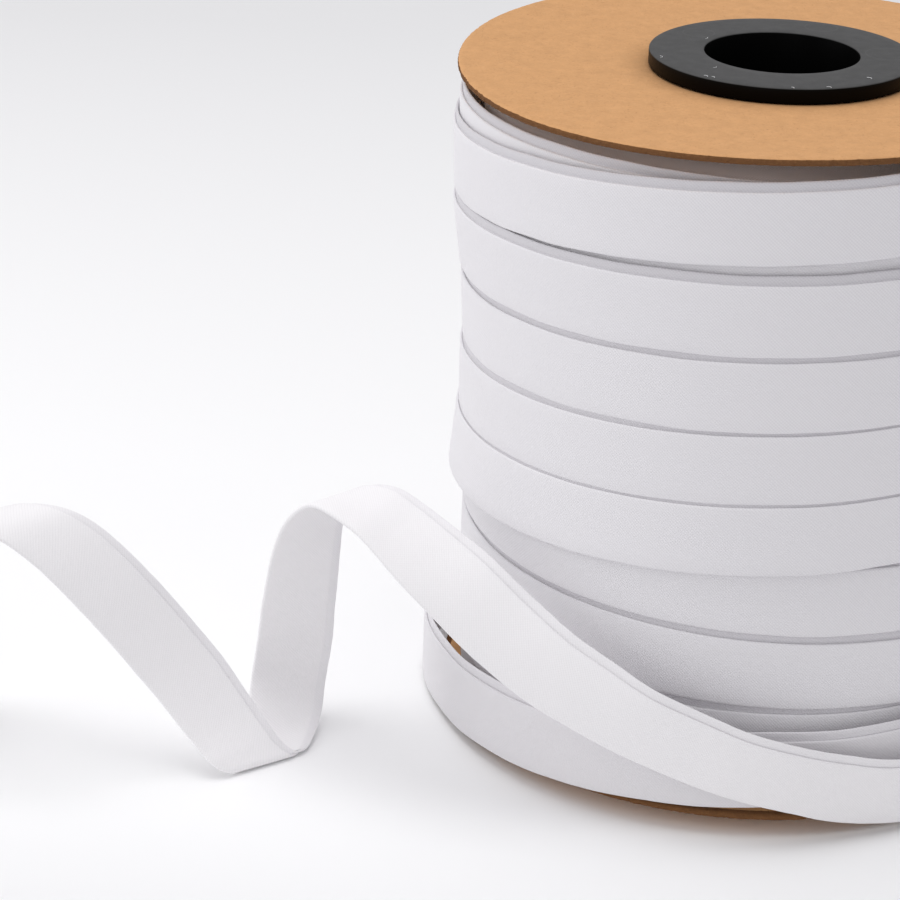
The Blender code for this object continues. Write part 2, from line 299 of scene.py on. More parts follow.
def tape_section(width, thick):
    """Loop of (across, through) points: fold, front leaf, step, back leaf."""
    half, skin = width / 2, thick / 2
    crease = half - LEAF_STEP
    loop = []
    for step in range(7):                                   # the fold
        turn = -pi / 2 - pi * step / 6
        loop.append((-half + skin + skin * cos(turn), skin * sin(turn)))
    for step in range(1, 7):                                # the front leaf
        across = -half + skin + (crease - 0.5 * MM + half - skin) * step / 6
        loop.append((across, skin))
    loop += [                                               # its rounded edge
        (crease - 0.20 * MM, skin * 0.93),
        (crease - 0.03 * MM, skin * 0.68),
        (crease, skin * 0.42),
        (crease - 0.08 * MM, skin * 0.16),
        (crease - 0.45 * MM, skin * 0.04),                  # into the crease
        (crease - 0.40 * MM, -skin * 0.06),
        (crease + 0.10 * MM, -skin * 0.02),
    ]
    loop += [                                               # the back leaf
        (half - 0.9 * MM, 0.0),
        (half - 0.30 * MM, -skin * 0.04),
        (half - 0.08 * MM, -skin * 0.22),
        (half, -skin * 0.5),
        (half - 0.08 * MM, -skin * 0.8),
        (half - 0.30 * MM, -skin),
    ]
    for step in range(1, 6):                                # the back surface
        loop.append((half - 0.3 * MM - (width - 0.3 * MM - skin) * step / 6, -skin))
    return loop


print("section points:", len(tape_section(16 * MM, 1 * MM)))

# %% [markdown]
# ## Sweep it along a path
# A path is a list of stations: the middle of the tape and the direction across
# it, from the fold to the open edge. The third direction, out of the front
# leaf, follows from those two. Cloth is never perfectly even, so slow noise
# shifts the surface by a tenth of a millimetre and lets the edges wander.

# %% Sweep function
def sweep_tape(name, stations, width, thick, seed, finish):
    loop = tape_section(width, thick)
    shape = bmesh.new()
    tape_map = shape.loops.layers.uv.new("tape_metres")
    rings, travel = [], 0.0
    for index, (middle, across) in enumerate(stations):
        after = stations[min(index + 1, len(stations) - 1)][0]
        before = stations[max(index - 1, 0)][0]
        along = (after - before).normalized()
        outward = across.cross(along).normalized()
        if index:
            travel += (middle - stations[index - 1][0]).length
        ring = []
        for a, n in loop:
            ripple = noise.noise(Vector((travel * 55, a * 90, seed))) * 0.10 * MM
            ripple += noise.noise(Vector((travel * 210, a * 260, seed + 5))) * 0.03 * MM
            wander = noise.noise(Vector((travel * 80, seed + 9, 0))) * 0.22 * MM
            wander += noise.noise(Vector((travel * 420, seed + 9, a * 40))) * 0.05 * MM
            point = AXIS + middle + across * (a + wander * (2 * abs(a) / width) ** 2)
            ring.append((shape.verts.new(point + outward * (n + ripple)), travel, a))
        rings.append(ring)
    count = len(loop)
    for near, far in zip(rings, rings[1:]):
        for k in range(count):
            corners = (near[k], near[(k + 1) % count], far[(k + 1) % count], far[k])
            face = shape.faces.new([corner[0] for corner in corners])
            for spot, corner in zip(face.loops, corners):
                spot[tape_map].uv = (corner[1], corner[2])
    for ring, flip in ((rings[0], True), (rings[-1], False)):
        corners = ring[::-1] if flip else ring
        face = shape.faces.new([corner[0] for corner in corners])
        for spot, corner in zip(face.loops, corners):
            spot[tape_map].uv = (corner[1], corner[2])
    bmesh.ops.recalc_face_normals(shape, faces=shape.faces)
    piece = keep_piece(name, shape, finish)
    print("   length", round(travel, 3), "m")
    return piece, travel


def between(before, start, end, after, t):
    """Catmull-Rom curve from start to end."""
    return 0.5 * (
        2.0 * start
        + (end - before) * t
        + (2.0 * before - 5.0 * start + 4.0 * end - after) * t * t
        + (3.0 * start - before - 3.0 * end + after) * t * t * t
    )


def smooth_path(points, steps):
    ends = [2.0 * points[0] - points[1]] + points + [2.0 * points[-1] - points[-2]]
    path = []
    for i in range(len(points) - 1):
        for step in range(steps):
            path.append(between(*ends[i:i + 4], step / steps))
    path.append(points[-1].copy())
    return path


# %% [markdown]
# ## The wound tape
# The tape is laid like thread on a bobbin: up the reel, then down again. Each
# row here is one front crossing, one full turn after the last. The lower turns
# that show were wound upwards; the five above them were wound downwards over
# those. lean is how far the open edge stands out beyond the fold. left_out and
# left_lean push the turn and its open edge out at the reel's left, where the
# photograph shows the bands bulging, and tilt lowers the turn there.

# %% Lay of the winding
WOUND_ROWS = [
    # wound upwards, mostly hidden, from the start at the foot
    dict(mid_z=13.0, radius=57.3, lean=-0.4, left_out=0.0, left_lean=0.0, tilt=0.0),
    dict(mid_z=18.8, radius=58.2, lean=-0.3, left_out=0.0, left_lean=0.0, tilt=0.0),
    dict(mid_z=34.0, radius=58.2, lean=-0.3, left_out=0.0, left_lean=0.0, tilt=-0.2),
    dict(mid_z=49.3, radius=58.2, lean=-0.3, left_out=0.0, left_lean=0.0, tilt=0.4),
    dict(mid_z=64.5, radius=58.0, lean=-0.6, left_out=0.0, left_lean=0.0, tilt=0.0),
    dict(mid_z=79.7, radius=58.0, lean=-0.6, left_out=0.0, left_lean=0.0, tilt=0.0),
    dict(mid_z=94.9, radius=58.0, lean=-0.6, left_out=0.0, left_lean=0.0, tilt=0.0),
    dict(mid_z=109.6, radius=59.0, lean=-0.3, left_out=0.9, left_lean=0.0, tilt=0.0),
    # the turn at the card, then bands 1 to 5 wound downwards
    dict(mid_z=122.2, radius=58.7, lean=-0.3, left_out=1.9, left_lean=0.0, tilt=0.0),
    dict(mid_z=122.8, radius=60.7, lean=0.3, left_out=1.1, left_lean=0.0, tilt=2.9),
    dict(mid_z=105.3, radius=60.3, lean=0.3, left_out=1.0, left_lean=1.6, tilt=-0.1),
    dict(mid_z=90.5, radius=60.0, lean=0.3, left_out=-0.4, left_lean=0.6, tilt=0.3),
    dict(mid_z=76.1, radius=59.8, lean=0.3, left_out=-0.3, left_lean=0.2, tilt=1.0),
    dict(mid_z=61.9, radius=60.0, lean=-0.3, left_out=0.0, left_lean=-1.3, tilt=1.0),
    # where it would go on, if it did not come loose first
    dict(mid_z=48.7, radius=62.6, lean=0.0, left_out=0.0, left_lean=0.0, tilt=0.0),
]
TURN_STEPS = 110
LOOSE_FROM = -110                 # azimuth where the tape leaves the winding, in degrees
LOWEST_MID, HIGHEST_MID = 12.8, 124.8   # keep the tape between the cards
WOUND_W, WOUND_T = 15.6 * MM, 1.1 * MM


def edge_pair(azimuth, radius, mid_z, lean, width):
    """Fold and open edge of tape that stands round the reel."""
    outward = Vector((sin(azimuth), -cos(azimuth), 0.0))
    rise = (width * width - lean * lean) ** 0.5 / 2
    middle = outward * radius + Vector((0.0, 0.0, mid_z))
    half = outward * lean / 2 + Vector((0.0, 0.0, rise))
    return middle - half, middle + half


def wound_stations():
    """Stations of the winding, from its hidden start to the loose tape."""
    fronts = [Vector((r["mid_z"], r["radius"], r["lean"])) for r in WOUND_ROWS]
    lefts = [Vector((r["left_out"], r["left_lean"], r["tilt"])) for r in WOUND_ROWS]
    paths = zip(smooth_path(fronts, TURN_STEPS), smooth_path(lefts, TURN_STEPS))
    count = int((len(WOUND_ROWS) - 2 - LOOSE_FROM / 360.0) * TURN_STEPS)
    stations = []
    for step, (front, left) in enumerate(paths):
        if step > count:
            break
        azimuth = -2 * pi * step / TURN_STEPS
        leftness = max(0.0, -sin(azimuth)) ** 2
        radius = front.y + left.x * leftness
        lean = front.z + left.y * leftness
        mid_z = front.x + left.z * sin(azimuth)
        mid_z = max(LOWEST_MID, min(mid_z, HIGHEST_MID))
        fold, open_edge = edge_pair(azimuth, radius * MM, mid_z * MM, lean * MM, WOUND_W)
        stations.append(((fold + open_edge) / 2, (open_edge - fold).normalized()))
    return stations


wound_path = wound_stations()
wound, _ = sweep_tape("tape_wound_turns", wound_path, WOUND_W, WOUND_T, seed=3.0, finish=cotton)

# %% [markdown]
# ## The pack under the outer turns
# Under the top card and between the first two bands deeper turns show. One
# turned shape with shallow ridges fills that space, so light doesn't leak
# through the winding. Its top steps down near the rim, which leaves the dark
# gap that shows under the card.

# %% Deeper turns
def turned_piece(name, profile, steps, finish, smooth=True):
    """A ring round the reel's axis from a closed (radius, height) profile."""
    shape = bmesh.new()
    tape_map = shape.loops.layers.uv.new("tape_metres")
    rings = []
    for step in range(steps):
        azimuth = 2 * pi * step / steps
        rings.append([
            shape.verts.new(AXIS + Vector((radius * sin(azimuth), -radius * cos(azimuth), z)))
            for radius, z in profile
        ])
    count = len(profile)
    for step in range(steps):
        near, far = rings[step], rings[(step + 1) % steps]
        for k in range(count):
            other = (k + 1) % count
            face = shape.faces.new((near[k], near[other], far[other], far[k]))
            places = ((step, k), (step, other), (step + 1, other), (step + 1, k))
            for spot, (turn, row) in zip(face.loops, places):
                radius, z = profile[row]
                spot[tape_map].uv = (2 * pi * CARD_R * turn / steps, z - radius)
    bmesh.ops.recalc_face_normals(shape, faces=shape.faces)
    return keep_piece(name, shape, finish, smooth)


PACK_R, PACK_LOW, PACK_TOP = 56.6 * MM, 5.2 * MM, 129.8 * MM
PACK_BORE_R, PACK_STEP_R = 20.0 * MM, 50.0 * MM
PACK_UNDER_CARD = card_low.z - 0.2 * MM
GROOVE = 0.8 * MM
RIDGES, PACK_STEPS = 9, 96
pack_profile = [
    (PACK_BORE_R, PACK_UNDER_CARD),
    (PACK_STEP_R, PACK_UNDER_CARD),
    (PACK_STEP_R + 1.0 * MM, PACK_TOP),
    (PACK_R - GROOVE, PACK_TOP),
]
for ridge in range(RIDGES):
    ridge_z = PACK_TOP - (ridge + 0.5) * (PACK_TOP - PACK_LOW) / RIDGES
    pack_profile += [
        (PACK_R, ridge_z + 5.5 * MM),
        (PACK_R, ridge_z - 5.5 * MM),
        (PACK_R - GROOVE, ridge_z - 7.0 * MM),
    ]
pack_profile.append((PACK_BORE_R, PACK_LOW))
pack = turned_piece("tape_inner_pack", pack_profile, PACK_STEPS, cotton)
for piece in (wound, pack):
    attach(piece, "root")
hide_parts("tape_winding")

# %% [markdown]
# ## The loose tape
# First come the two slipped turns, then the end that runs free, given by its
# fold edge and its open edge. The places are those of the part's solid, but
# the first two rows start closer to the reel, to meet the end of the winding.

# %% Stations of the loose tape
TURN_ROWS = [
    dict(azimuth=-110, radius=60.7, mid_z=56.9, lean=-1.2),
    dict(azimuth=-150, radius=61.8, mid_z=49.5, lean=-0.3),
    dict(azimuth=-190, radius=62.2, mid_z=41.0, lean=0.0),
    dict(azimuth=-230, radius=62.2, mid_z=31.0, lean=0.0),
    dict(azimuth=-270, radius=62.2, mid_z=22.5, lean=0.0),
    dict(azimuth=-302, radius=62.2, mid_z=16.8, lean=0.0),
    dict(azimuth=-330, radius=62.2, mid_z=15.0, lean=0.0),
    dict(azimuth=-356, radius=62.3, mid_z=14.4, lean=0.0),
    dict(azimuth=-377, radius=62.9, mid_z=13.2, lean=0.0),
    dict(azimuth=-392, radius=63.1, mid_z=12.1, lean=0.0),
    dict(azimuth=-408, radius=63.2, mid_z=10.6, lean=0.0),
    dict(azimuth=-426, radius=63.7, mid_z=9.3, lean=0.0),
    dict(azimuth=-445, radius=65.6, mid_z=8.6, lean=0.0),
    dict(azimuth=-465, radius=66.4, mid_z=8.5, lean=0.0),
    dict(azimuth=-500, radius=66.2, mid_z=8.4, lean=0.0),
    dict(azimuth=-540, radius=65.6, mid_z=8.4, lean=0.0),
    dict(azimuth=-585, radius=65.2, mid_z=8.4, lean=0.0),
    dict(azimuth=-630, radius=65.0, mid_z=8.4, lean=0.4),
    dict(azimuth=-660, radius=64.8, mid_z=8.4, lean=1.2),
    dict(azimuth=-676, radius=64.9, mid_z=8.7, lean=2.6),
]
FREE_ROWS = [
    dict(fold=(34, -54, 1.5), open=(33, -58, 17)),        # front right
    dict(fold=(22, -60, 4), open=(22, -62.5, 19)),
    dict(fold=(12.5, -63.3, 7), open=(12.5, -66, 22)),
    dict(fold=(3, -65, 9.5), open=(4, -67.5, 24.5)),
    dict(fold=(-9, -65.5, 13), open=(-5, -67.5, 28.5)),
    dict(fold=(-20, -65.5, 17.5), open=(-14.5, -67, 32)),
    dict(fold=(-30, -65, 22), open=(-22.5, -64.5, 36)),
    dict(fold=(-39, -64, 26.5), open=(-30.5, -61.5, 40)),
    dict(fold=(-48, -62.5, 32.5), open=(-38, -57.5, 44.5)),
    dict(fold=(-56, -60.5, 39), open=(-46, -53, 50)),
    dict(fold=(-63, -58, 45), open=(-54, -47.5, 53)),
    dict(fold=(-69, -55, 50), open=(-61.5, -42, 55.5)),
    dict(fold=(-75, -52, 54), open=(-68, -37.5, 57)),     # top of the first arch
    dict(fold=(-83, -47.5, 56), open=(-74.5, -33.5, 54.5)),
    dict(fold=(-89, -43, 50), open=(-79, -30, 46.5)),
    dict(fold=(-92.5, -38.5, 40), open=(-80.5, -28, 37)),
    dict(fold=(-95, -34.5, 29), open=(-81.5, -25.5, 26.5)),
    dict(fold=(-96.5, -32, 18), open=(-82.5, -24.5, 16)),
    dict(fold=(-97.5, -34, 8.5), open=(-83.5, -26.5, 7)),
    dict(fold=(-97, -43, 2), open=(-83.5, -34.5, 1.8)),
    dict(fold=(-97, -55, 0.8), open=(-84.5, -45, 0.8)),   # bend on the table
    dict(fold=(-100.5, -58, 3), open=(-88.5, -46.5, 3.5)),
    dict(fold=(-105.5, -57, 8), open=(-94.5, -45, 11)),
    dict(fold=(-112, -56.5, 16), open=(-101, -45, 21)),
    dict(fold=(-119.5, -58, 26.5), open=(-108.5, -46.5, 31.5)),
    dict(fold=(-127, -60, 37), open=(-116, -48.5, 41.5)),
    dict(fold=(-135, -61.5, 46), open=(-124, -49.5, 49.5)),
    dict(fold=(-143, -61.5, 51.5), open=(-132, -49.5, 53)),   # top of the second arch
    dict(fold=(-152, -59, 52), open=(-141, -46.5, 51)),
    dict(fold=(-160, -54.5, 45), open=(-148, -43, 43)),
    dict(fold=(-165.5, -49.5, 34), open=(-152.5, -39, 32)),
    dict(fold=(-168.5, -45.5, 21), open=(-155, -36, 19)),
    dict(fold=(-170, -45, 9), open=(-156, -36.5, 7.5)),
    dict(fold=(-171, -52, 2), open=(-156.5, -44, 1.8)),
    dict(fold=(-172, -62, 0.8), open=(-157, -55, 0.8)),
    dict(fold=(-174, -75, 0.8), open=(-158.5, -69, 0.8)),     # cut end
]

# %% Sweep the loose tape
LOOSE_W, LOOSE_T = 16.2 * MM, 1.0 * MM
STEPS_A_ROW = 12


def loose_stations():
    """Stations of the loose tape, from the end of the winding to the cut end."""
    turns = [
        Vector((radians(r["azimuth"]), r["radius"], r["mid_z"], r["lean"]))
        for r in TURN_ROWS
    ]

    def pair(values):
        azimuth, radius, mid_z, lean = values
        return edge_pair(azimuth, radius * MM, mid_z * MM, lean * MM, LOOSE_W)

    pairs = [pair(values) for values in smooth_path(turns, STEPS_A_ROW)]
    stations = [wound_path[-1]]                           # picks up where the winding stops
    stations += [((fold + edge) / 2, (edge - fold).normalized()) for fold, edge in pairs]
    pairs = [pair(values) for values in turns[-2:]]
    pairs += [(Vector(r["fold"]) * MM, Vector(r["open"]) * MM) for r in FREE_ROWS]
    middles = smooth_path([(fold + edge) / 2 for fold, edge in pairs], STEPS_A_ROW)
    acrosses = smooth_path([(edge - fold).normalized() for fold, edge in pairs], STEPS_A_ROW)
    for middle, across in list(zip(middles, acrosses))[STEPS_A_ROW + 1:]:
        stations.append((middle, across.normalized()))
    return stations


loose, loose_length = sweep_tape(
    "tape_loose_end", loose_stations(), LOOSE_W, LOOSE_T, seed=7.0, finish=loose_cotton
)
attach(loose, "root")
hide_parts("tape_tail")

# %% [markdown]
# ## Brown card
# Card is pressed wood fibre: warm brown, quite matt, with short paler and
# darker fibres lying every way and a few dark specks. The cut edge is rough
# and darker, because there the fibres end.

# %% Fibre group
fibres, fibres_in, fibres_out = new_group(
    "card_fibres",
    [("Place", "NodeSocketVector", None), ("Fibres a Metre", "NodeSocketFloat", 2600.0)],
    [("Light", "NodeSocketFloat"), ("Dark", "NodeSocketFloat"), ("Height", "NodeSocketFloat")],
)
fibre_layers = []
for turn, stretch in ((0.4, 3.0), (1.5, 2.5), (2.6, 3.5)):
    place = add_node(fibres, "ShaderNodeVectorRotate", rotation_type="Z_AXIS")
    place.inputs["Angle"].default_value = turn
    fibres.links.new(fibres_in.outputs["Place"], place.inputs["Vector"])
    long_way = add_node(fibres, "ShaderNodeVectorMath", operation="MULTIPLY")
    long_way.inputs[1].default_value = (1.0 / stretch, 1.0, 1.0)
    fibres.links.new(place.outputs[0], long_way.inputs[0])
    grain = add_node(fibres, "ShaderNodeTexNoise", noise_dimensions="3D")
    grain.inputs["Detail"].default_value = 1.5
    fibres.links.new(long_way.outputs[0], grain.inputs["Vector"])
    fibres.links.new(fibres_in.outputs["Fibres a Metre"], grain.inputs["Scale"])
    fibre_layers.append(grain.outputs[0])
first, second, third = fibre_layers
most = do_math(fibres, "MAXIMUM", first, do_math(fibres, "MAXIMUM", second, third))
least = do_math(fibres, "MINIMUM", first, do_math(fibres, "MINIMUM", second, third))
light = do_math(fibres, "MULTIPLY", do_math(fibres, "SUBTRACT", most, 0.60), 6.0, clamp=True)
dark = do_math(fibres, "MULTIPLY", do_math(fibres, "SUBTRACT", 0.36, least), 7.0, clamp=True)
fibres.links.new(light, fibres_out.inputs["Light"])
fibres.links.new(dark, fibres_out.inputs["Dark"])
fibres.links.new(most, fibres_out.inputs["Height"])
print("fibre group:", len(fibres.nodes), "nodes")

# %% Card materials
def card_material(name, base, pale, deep, roughness, bump_depth):
    """Card with pale and deep fibres over a mottled base color."""
    made, tree, shader = new_material(name, base, roughness)
    shader.inputs["Specular IOR Level"].default_value = 0.2
    where = add_node(tree, "ShaderNodeTexCoord")
    group = add_node(tree, "ShaderNodeGroup", node_tree=fibres)
    tree.links.new(where.outputs["Object"], group.inputs["Place"])
    cloud = add_node(tree, "ShaderNodeTexNoise", noise_dimensions="3D")
    cloud.inputs["Scale"].default_value = 260.0
    cloud.inputs["Detail"].default_value = 5.0
    cloud.inputs["Roughness"].default_value = 0.75
    tree.links.new(where.outputs["Object"], cloud.inputs["Vector"])
    mottle = add_node(tree, "ShaderNodeMix", data_type="RGBA")
    mottle.inputs["A"].default_value = (*[c * 0.80 for c in base], 1.0)
    mottle.inputs["B"].default_value = (*[min(1.0, c * 1.20) for c in base], 1.0)
    tree.links.new(cloud.outputs[0], mottle.inputs["Factor"])
    paler = add_node(tree, "ShaderNodeMix", data_type="RGBA")
    paler.inputs["B"].default_value = (*pale, 1.0)
    tree.links.new(mottle.outputs["Result"], paler.inputs["A"])
    tree.links.new(do_math(tree, "MULTIPLY", group.outputs["Light"], 0.3), paler.inputs["Factor"])
    deeper = add_node(tree, "ShaderNodeMix", data_type="RGBA")
    deeper.inputs["B"].default_value = (*deep, 1.0)
    tree.links.new(paler.outputs["Result"], deeper.inputs["A"])
    tree.links.new(do_math(tree, "MULTIPLY", group.outputs["Dark"], 0.55), deeper.inputs["Factor"])
    tree.links.new(deeper.outputs["Result"], shader.inputs["Base Color"])
    bump = add_node(tree, "ShaderNodeBump")
    bump.inputs["Strength"].default_value = 0.6
    bump.inputs["Distance"].default_value = bump_depth
    tree.links.new(group.outputs["Height"], bump.inputs["Height"])
    tree.links.new(bump.outputs[0], shader.inputs["Normal"])
    return made


card_face = card_material(
    "brown_card_face",
    base=(0.62, 0.335, 0.15), pale=(0.72, 0.43, 0.22), deep=(0.44, 0.22, 0.09),
    roughness=0.85, bump_depth=0.05 * MM,
)
card_edge_and_rim_shade = card_material(
    "brown_card_cut_edge_and_rim_shade",
    base=(0.16, 0.072, 0.028), pale=(0.30, 0.15, 0.06), deep=(0.06, 0.025, 0.01),
    roughness=0.95, bump_depth=0.2 * MM,
)
print("card materials:", card_face.name, card_edge_and_rim_shade.name)

# %% [markdown]
# ## The two card discs
# Each disc is a flat plate with a hole. A die punched it, which leaves the rim
# a little ragged: the radius wanders by a few tenths of a millimetre and the
# edge is softly crushed. The top disc is not quite flat. Outside the collar
# its rim rises towards two opposite sides, as in the part's solid.

# %% Build the discs
CARD_STEPS = 720
HOLE_R, COLLAR_SEAT = 19.4 * MM, 27.2 * MM
RISE_AZIMUTH = radians(45)         # the side towards which the top rim rises


def card_disc(name, low_z, rim_rise, rim_shade, seed):
    """A punched disc; its rim stands up by rim_rise on two opposite sides, and where its rim flag is 1 the
    top of the rim is painted as dark as the edge, a painted shade."""
    top_z = low_z + CARD_T
    rows = [                       # radius, height, how ragged, cut edge or face
        (HOLE_R, low_z, 0.0, 0),
        (HOLE_R, top_z, 0.0, 1),
        (CARD_R * 0.5, top_z, 0.0, 0),
        (CARD_R * 0.8, top_z, 0.0, 0),
        # With the flag set, these rows of the top face take the edge's dark finish: painted shade under the
        # tape.
        (CARD_R - 1.4 * MM, top_z, 0.2, rim_shade),
        (CARD_R - 0.45 * MM, top_z - 0.06 * MM, 1.0, rim_shade),
        (CARD_R - 0.12 * MM, top_z - 0.26 * MM, 1.0, 1),
        (CARD_R, top_z - CARD_T * 0.45, 1.2, 1),
        (CARD_R - 0.05 * MM, low_z + CARD_T * 0.25, 1.3, 1),
        (CARD_R - 0.40 * MM, low_z + 0.05 * MM, 1.0, 1),
        (CARD_R - 1.4 * MM, low_z, 0.2, 0),
        (CARD_R * 0.6, low_z, 0.0, 0),
    ]
    shape = bmesh.new()
    rings = []
    for step in range(CARD_STEPS):
        azimuth = 2 * pi * step / CARD_STEPS
        heading = Vector((sin(azimuth), -cos(azimuth), 0.0))
        ring = []
        for radius, z, ragged, _ in rows:
            start = Vector((0, 0, seed))
            spot = heading * 9 + start
            fray = noise.noise(spot * 4) * 0.16
            fray += noise.noise(spot * 17 + Vector((0, 0, z * 900))) * 0.20
            fray += max(0.0, noise.noise(heading * 60 + start) - 0.15) * 0.6
            warp = noise.noise(heading * 1.6 + start) * 0.12 * (radius / CARD_R) ** 2
            share = (max(0.0, radius - COLLAR_SEAT) / (CARD_R - COLLAR_SEAT)) ** 2
            warp += rim_rise / MM * share * cos(azimuth - RISE_AZIMUTH) ** 2
            place = heading * (radius - abs(fray) * ragged * MM)
            ring.append(shape.verts.new(AXIS + place + Vector((0, 0, z + warp * MM))))
        rings.append(ring)
    count = len(rows)
    for step in range(CARD_STEPS):
        near, far = rings[step], rings[(step + 1) % CARD_STEPS]
        for k in range(count):
            other = (k + 1) % count
            face = shape.faces.new((near[k], near[other], far[other], far[k]))
            edge_or_shade = (rows[k][3] and rows[other][3]) or k == 0
            face.material_index = 1 if edge_or_shade else 0
    bmesh.ops.recalc_face_normals(shape, faces=shape.faces)
    disc = keep_piece(name, shape, card_face)
    disc.data.materials.append(card_edge_and_rim_shade)
    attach(disc, "root")
    return disc


top_rise = card_high.z - card_low.z - CARD_T
top_disc = card_disc("card_disc_top", card_low.z, top_rise, rim_shade=0, seed=1.7)
# The bottom disc's rim top is painted as dark as its edge: painted shade, where the tape above shades it.
low_disc = card_disc("card_disc_bottom", LOW_CARD_Z, 0.0, rim_shade=1, seed=8.3)
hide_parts("flange_top")
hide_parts("flange_bottom")

# %% [markdown]
# ## Black plastic
# The hub is moulded in black plastic with a fine satin grain. Its side and bore
# are nearly black in the photograph, so its reflection is kept weak, and a
# light bump and an uneven roughness keep it soft.

# %% Plastic material
PLASTIC_BLACK = 0.0008
plastic, plastic_tree, plastic_shader = new_material(
    "black_moulded_plastic", (PLASTIC_BLACK, PLASTIC_BLACK, PLASTIC_BLACK), 0.42
)
plastic_shader.inputs["Specular IOR Level"].default_value = 0.06
plastic_place = add_node(plastic_tree, "ShaderNodeTexCoord")
plastic_grain = add_node(plastic_tree, "ShaderNodeTexNoise", noise_dimensions="3D")
plastic_grain.inputs["Scale"].default_value = 2600.0
plastic_grain.inputs["Detail"].default_value = 2.0
plastic_tree.links.new(plastic_place.outputs["Object"], plastic_grain.inputs["Vector"])
plastic_bump = add_node(plastic_tree, "ShaderNodeBump")
plastic_bump.inputs["Strength"].default_value = 0.35
plastic_bump.inputs["Distance"].default_value = 0.02 * MM
plastic_tree.links.new(plastic_grain.outputs[0], plastic_bump.inputs["Height"])
plastic_tree.links.new(plastic_bump.outputs[0], plastic_shader.inputs["Normal"])
plastic_swing = do_math(plastic_tree, "MULTIPLY", plastic_grain.outputs[0], 0.12)
plastic_tree.links.new(do_math(plastic_tree, "ADD", plastic_swing, 0.36), plastic_shader.inputs["Roughness"])
print("plastic material:", plastic.name)

# %% [markdown]
# ## Grey end faces
# In the photograph the collar's flat top is a soft mid grey, while its side is black. The grey is painted on
# both end faces: a painted reflection of the bright room, which the flat black top mirrors at a low angle.
# Faint round moulding marks lie on them. The mask is full only within a hair of each end face.

# %% End-face reflection and marks group
END_FACE_DEPTH = 0.2 * MM          # the grey reaches this far below an end face
END_FACE_SHARPNESS = 9000.0
MARK_SHARPNESS = 4500.0
GREY_REFLECTION, GREY_DUST, GREY_MARK = 0.047, 0.035, 0.018
GATE_MARKS = [                     # across, back, radius, in mm from the hub's axis
    (-16.6, 11.2, 3.1), (7.4, 20.6, 3.2), (20.2, 3.0, 4.2),
]

reflect_marks, reflect_marks_in, reflect_marks_out = new_group(
    "end_face_reflection_and_marks",
    [
        ("Place", "NodeSocketVector", None),
        ("Middle", "NodeSocketVector", None),
        ("Reel Height", "NodeSocketFloat", REEL_H),
    ],
    [("Color", "NodeSocketColor")],
)
end_face_place = add_node(reflect_marks, "ShaderNodeVectorMath", operation="SUBTRACT")
reflect_marks.links.new(reflect_marks_in.outputs["Place"], end_face_place.inputs[0])
reflect_marks.links.new(reflect_marks_in.outputs["Middle"], end_face_place.inputs[1])
end_face_split = add_node(reflect_marks, "ShaderNodeSeparateXYZ")
reflect_marks.links.new(end_face_place.outputs[0], end_face_split.inputs[0])
half_height = do_math(reflect_marks, "MULTIPLY", reflect_marks_in.outputs["Reel Height"], 0.5)
above_middle = do_math(reflect_marks, "SUBTRACT", end_face_split.outputs["Z"], half_height)
from_middle = do_math(reflect_marks, "ABSOLUTE", above_middle)
grey_from = do_math(reflect_marks, "SUBTRACT", half_height, END_FACE_DEPTH)
past_grey_from = do_math(reflect_marks, "SUBTRACT", from_middle, grey_from)
end_face_mask = do_math(reflect_marks, "MULTIPLY", past_grey_from, END_FACE_SHARPNESS, clamp=True)

marks = 0.0
for mark_x, mark_y, mark_r in GATE_MARKS:
    squares = []
    for axis, place in (("X", mark_x), ("Y", mark_y)):
        side = do_math(reflect_marks, "SUBTRACT", end_face_split.outputs[axis], place * MM)
        squares.append(do_math(reflect_marks, "MULTIPLY", side, side))
    away = do_math(reflect_marks, "SQRT", do_math(reflect_marks, "ADD", *squares))
    off_ring = do_math(reflect_marks, "ABSOLUTE", do_math(reflect_marks, "SUBTRACT", away, mark_r * MM))
    faded = do_math(reflect_marks, "MULTIPLY", off_ring, MARK_SHARPNESS)
    ring = do_math(reflect_marks, "SUBTRACT", 1.0, faded, clamp=True)
    marks = do_math(reflect_marks, "ADD", marks, ring, clamp=True)

# %% Grey of the end faces
dust = add_node(reflect_marks, "ShaderNodeTexNoise", noise_dimensions="3D")
dust.inputs["Scale"].default_value = 420.0
dust.inputs["Detail"].default_value = 6.0
reflect_marks.links.new(reflect_marks_in.outputs["Place"], dust.inputs["Vector"])
dust_grey = do_math(reflect_marks, "MULTIPLY", dust.outputs[0], GREY_DUST)
mark_grey = do_math(reflect_marks, "MULTIPLY", marks, GREY_MARK)
# The base grey is a painted reflection of the bright room; noise and the moulding marks vary it.
grey = do_math(reflect_marks, "ADD", do_math(reflect_marks, "ADD", dust_grey, mark_grey), GREY_REFLECTION)
shade = do_math(reflect_marks, "ADD", do_math(reflect_marks, "MULTIPLY", grey, end_face_mask), PLASTIC_BLACK)
reflect_marks_grey = add_node(reflect_marks, "ShaderNodeCombineColor")
for channel in ("Red", "Green", "Blue"):
    reflect_marks.links.new(shade, reflect_marks_grey.inputs[channel])
reflect_marks.links.new(reflect_marks_grey.outputs[0], reflect_marks_out.inputs["Color"])
print("scuff group:", len(reflect_marks.nodes), "nodes")

# %% [markdown]
# ## The two hub halves
# Each half is a collar with a sleeve, and the sleeves meet in the middle of
# the reel. The hub stands a little to the right of the card's middle, as in
# the part's solid.

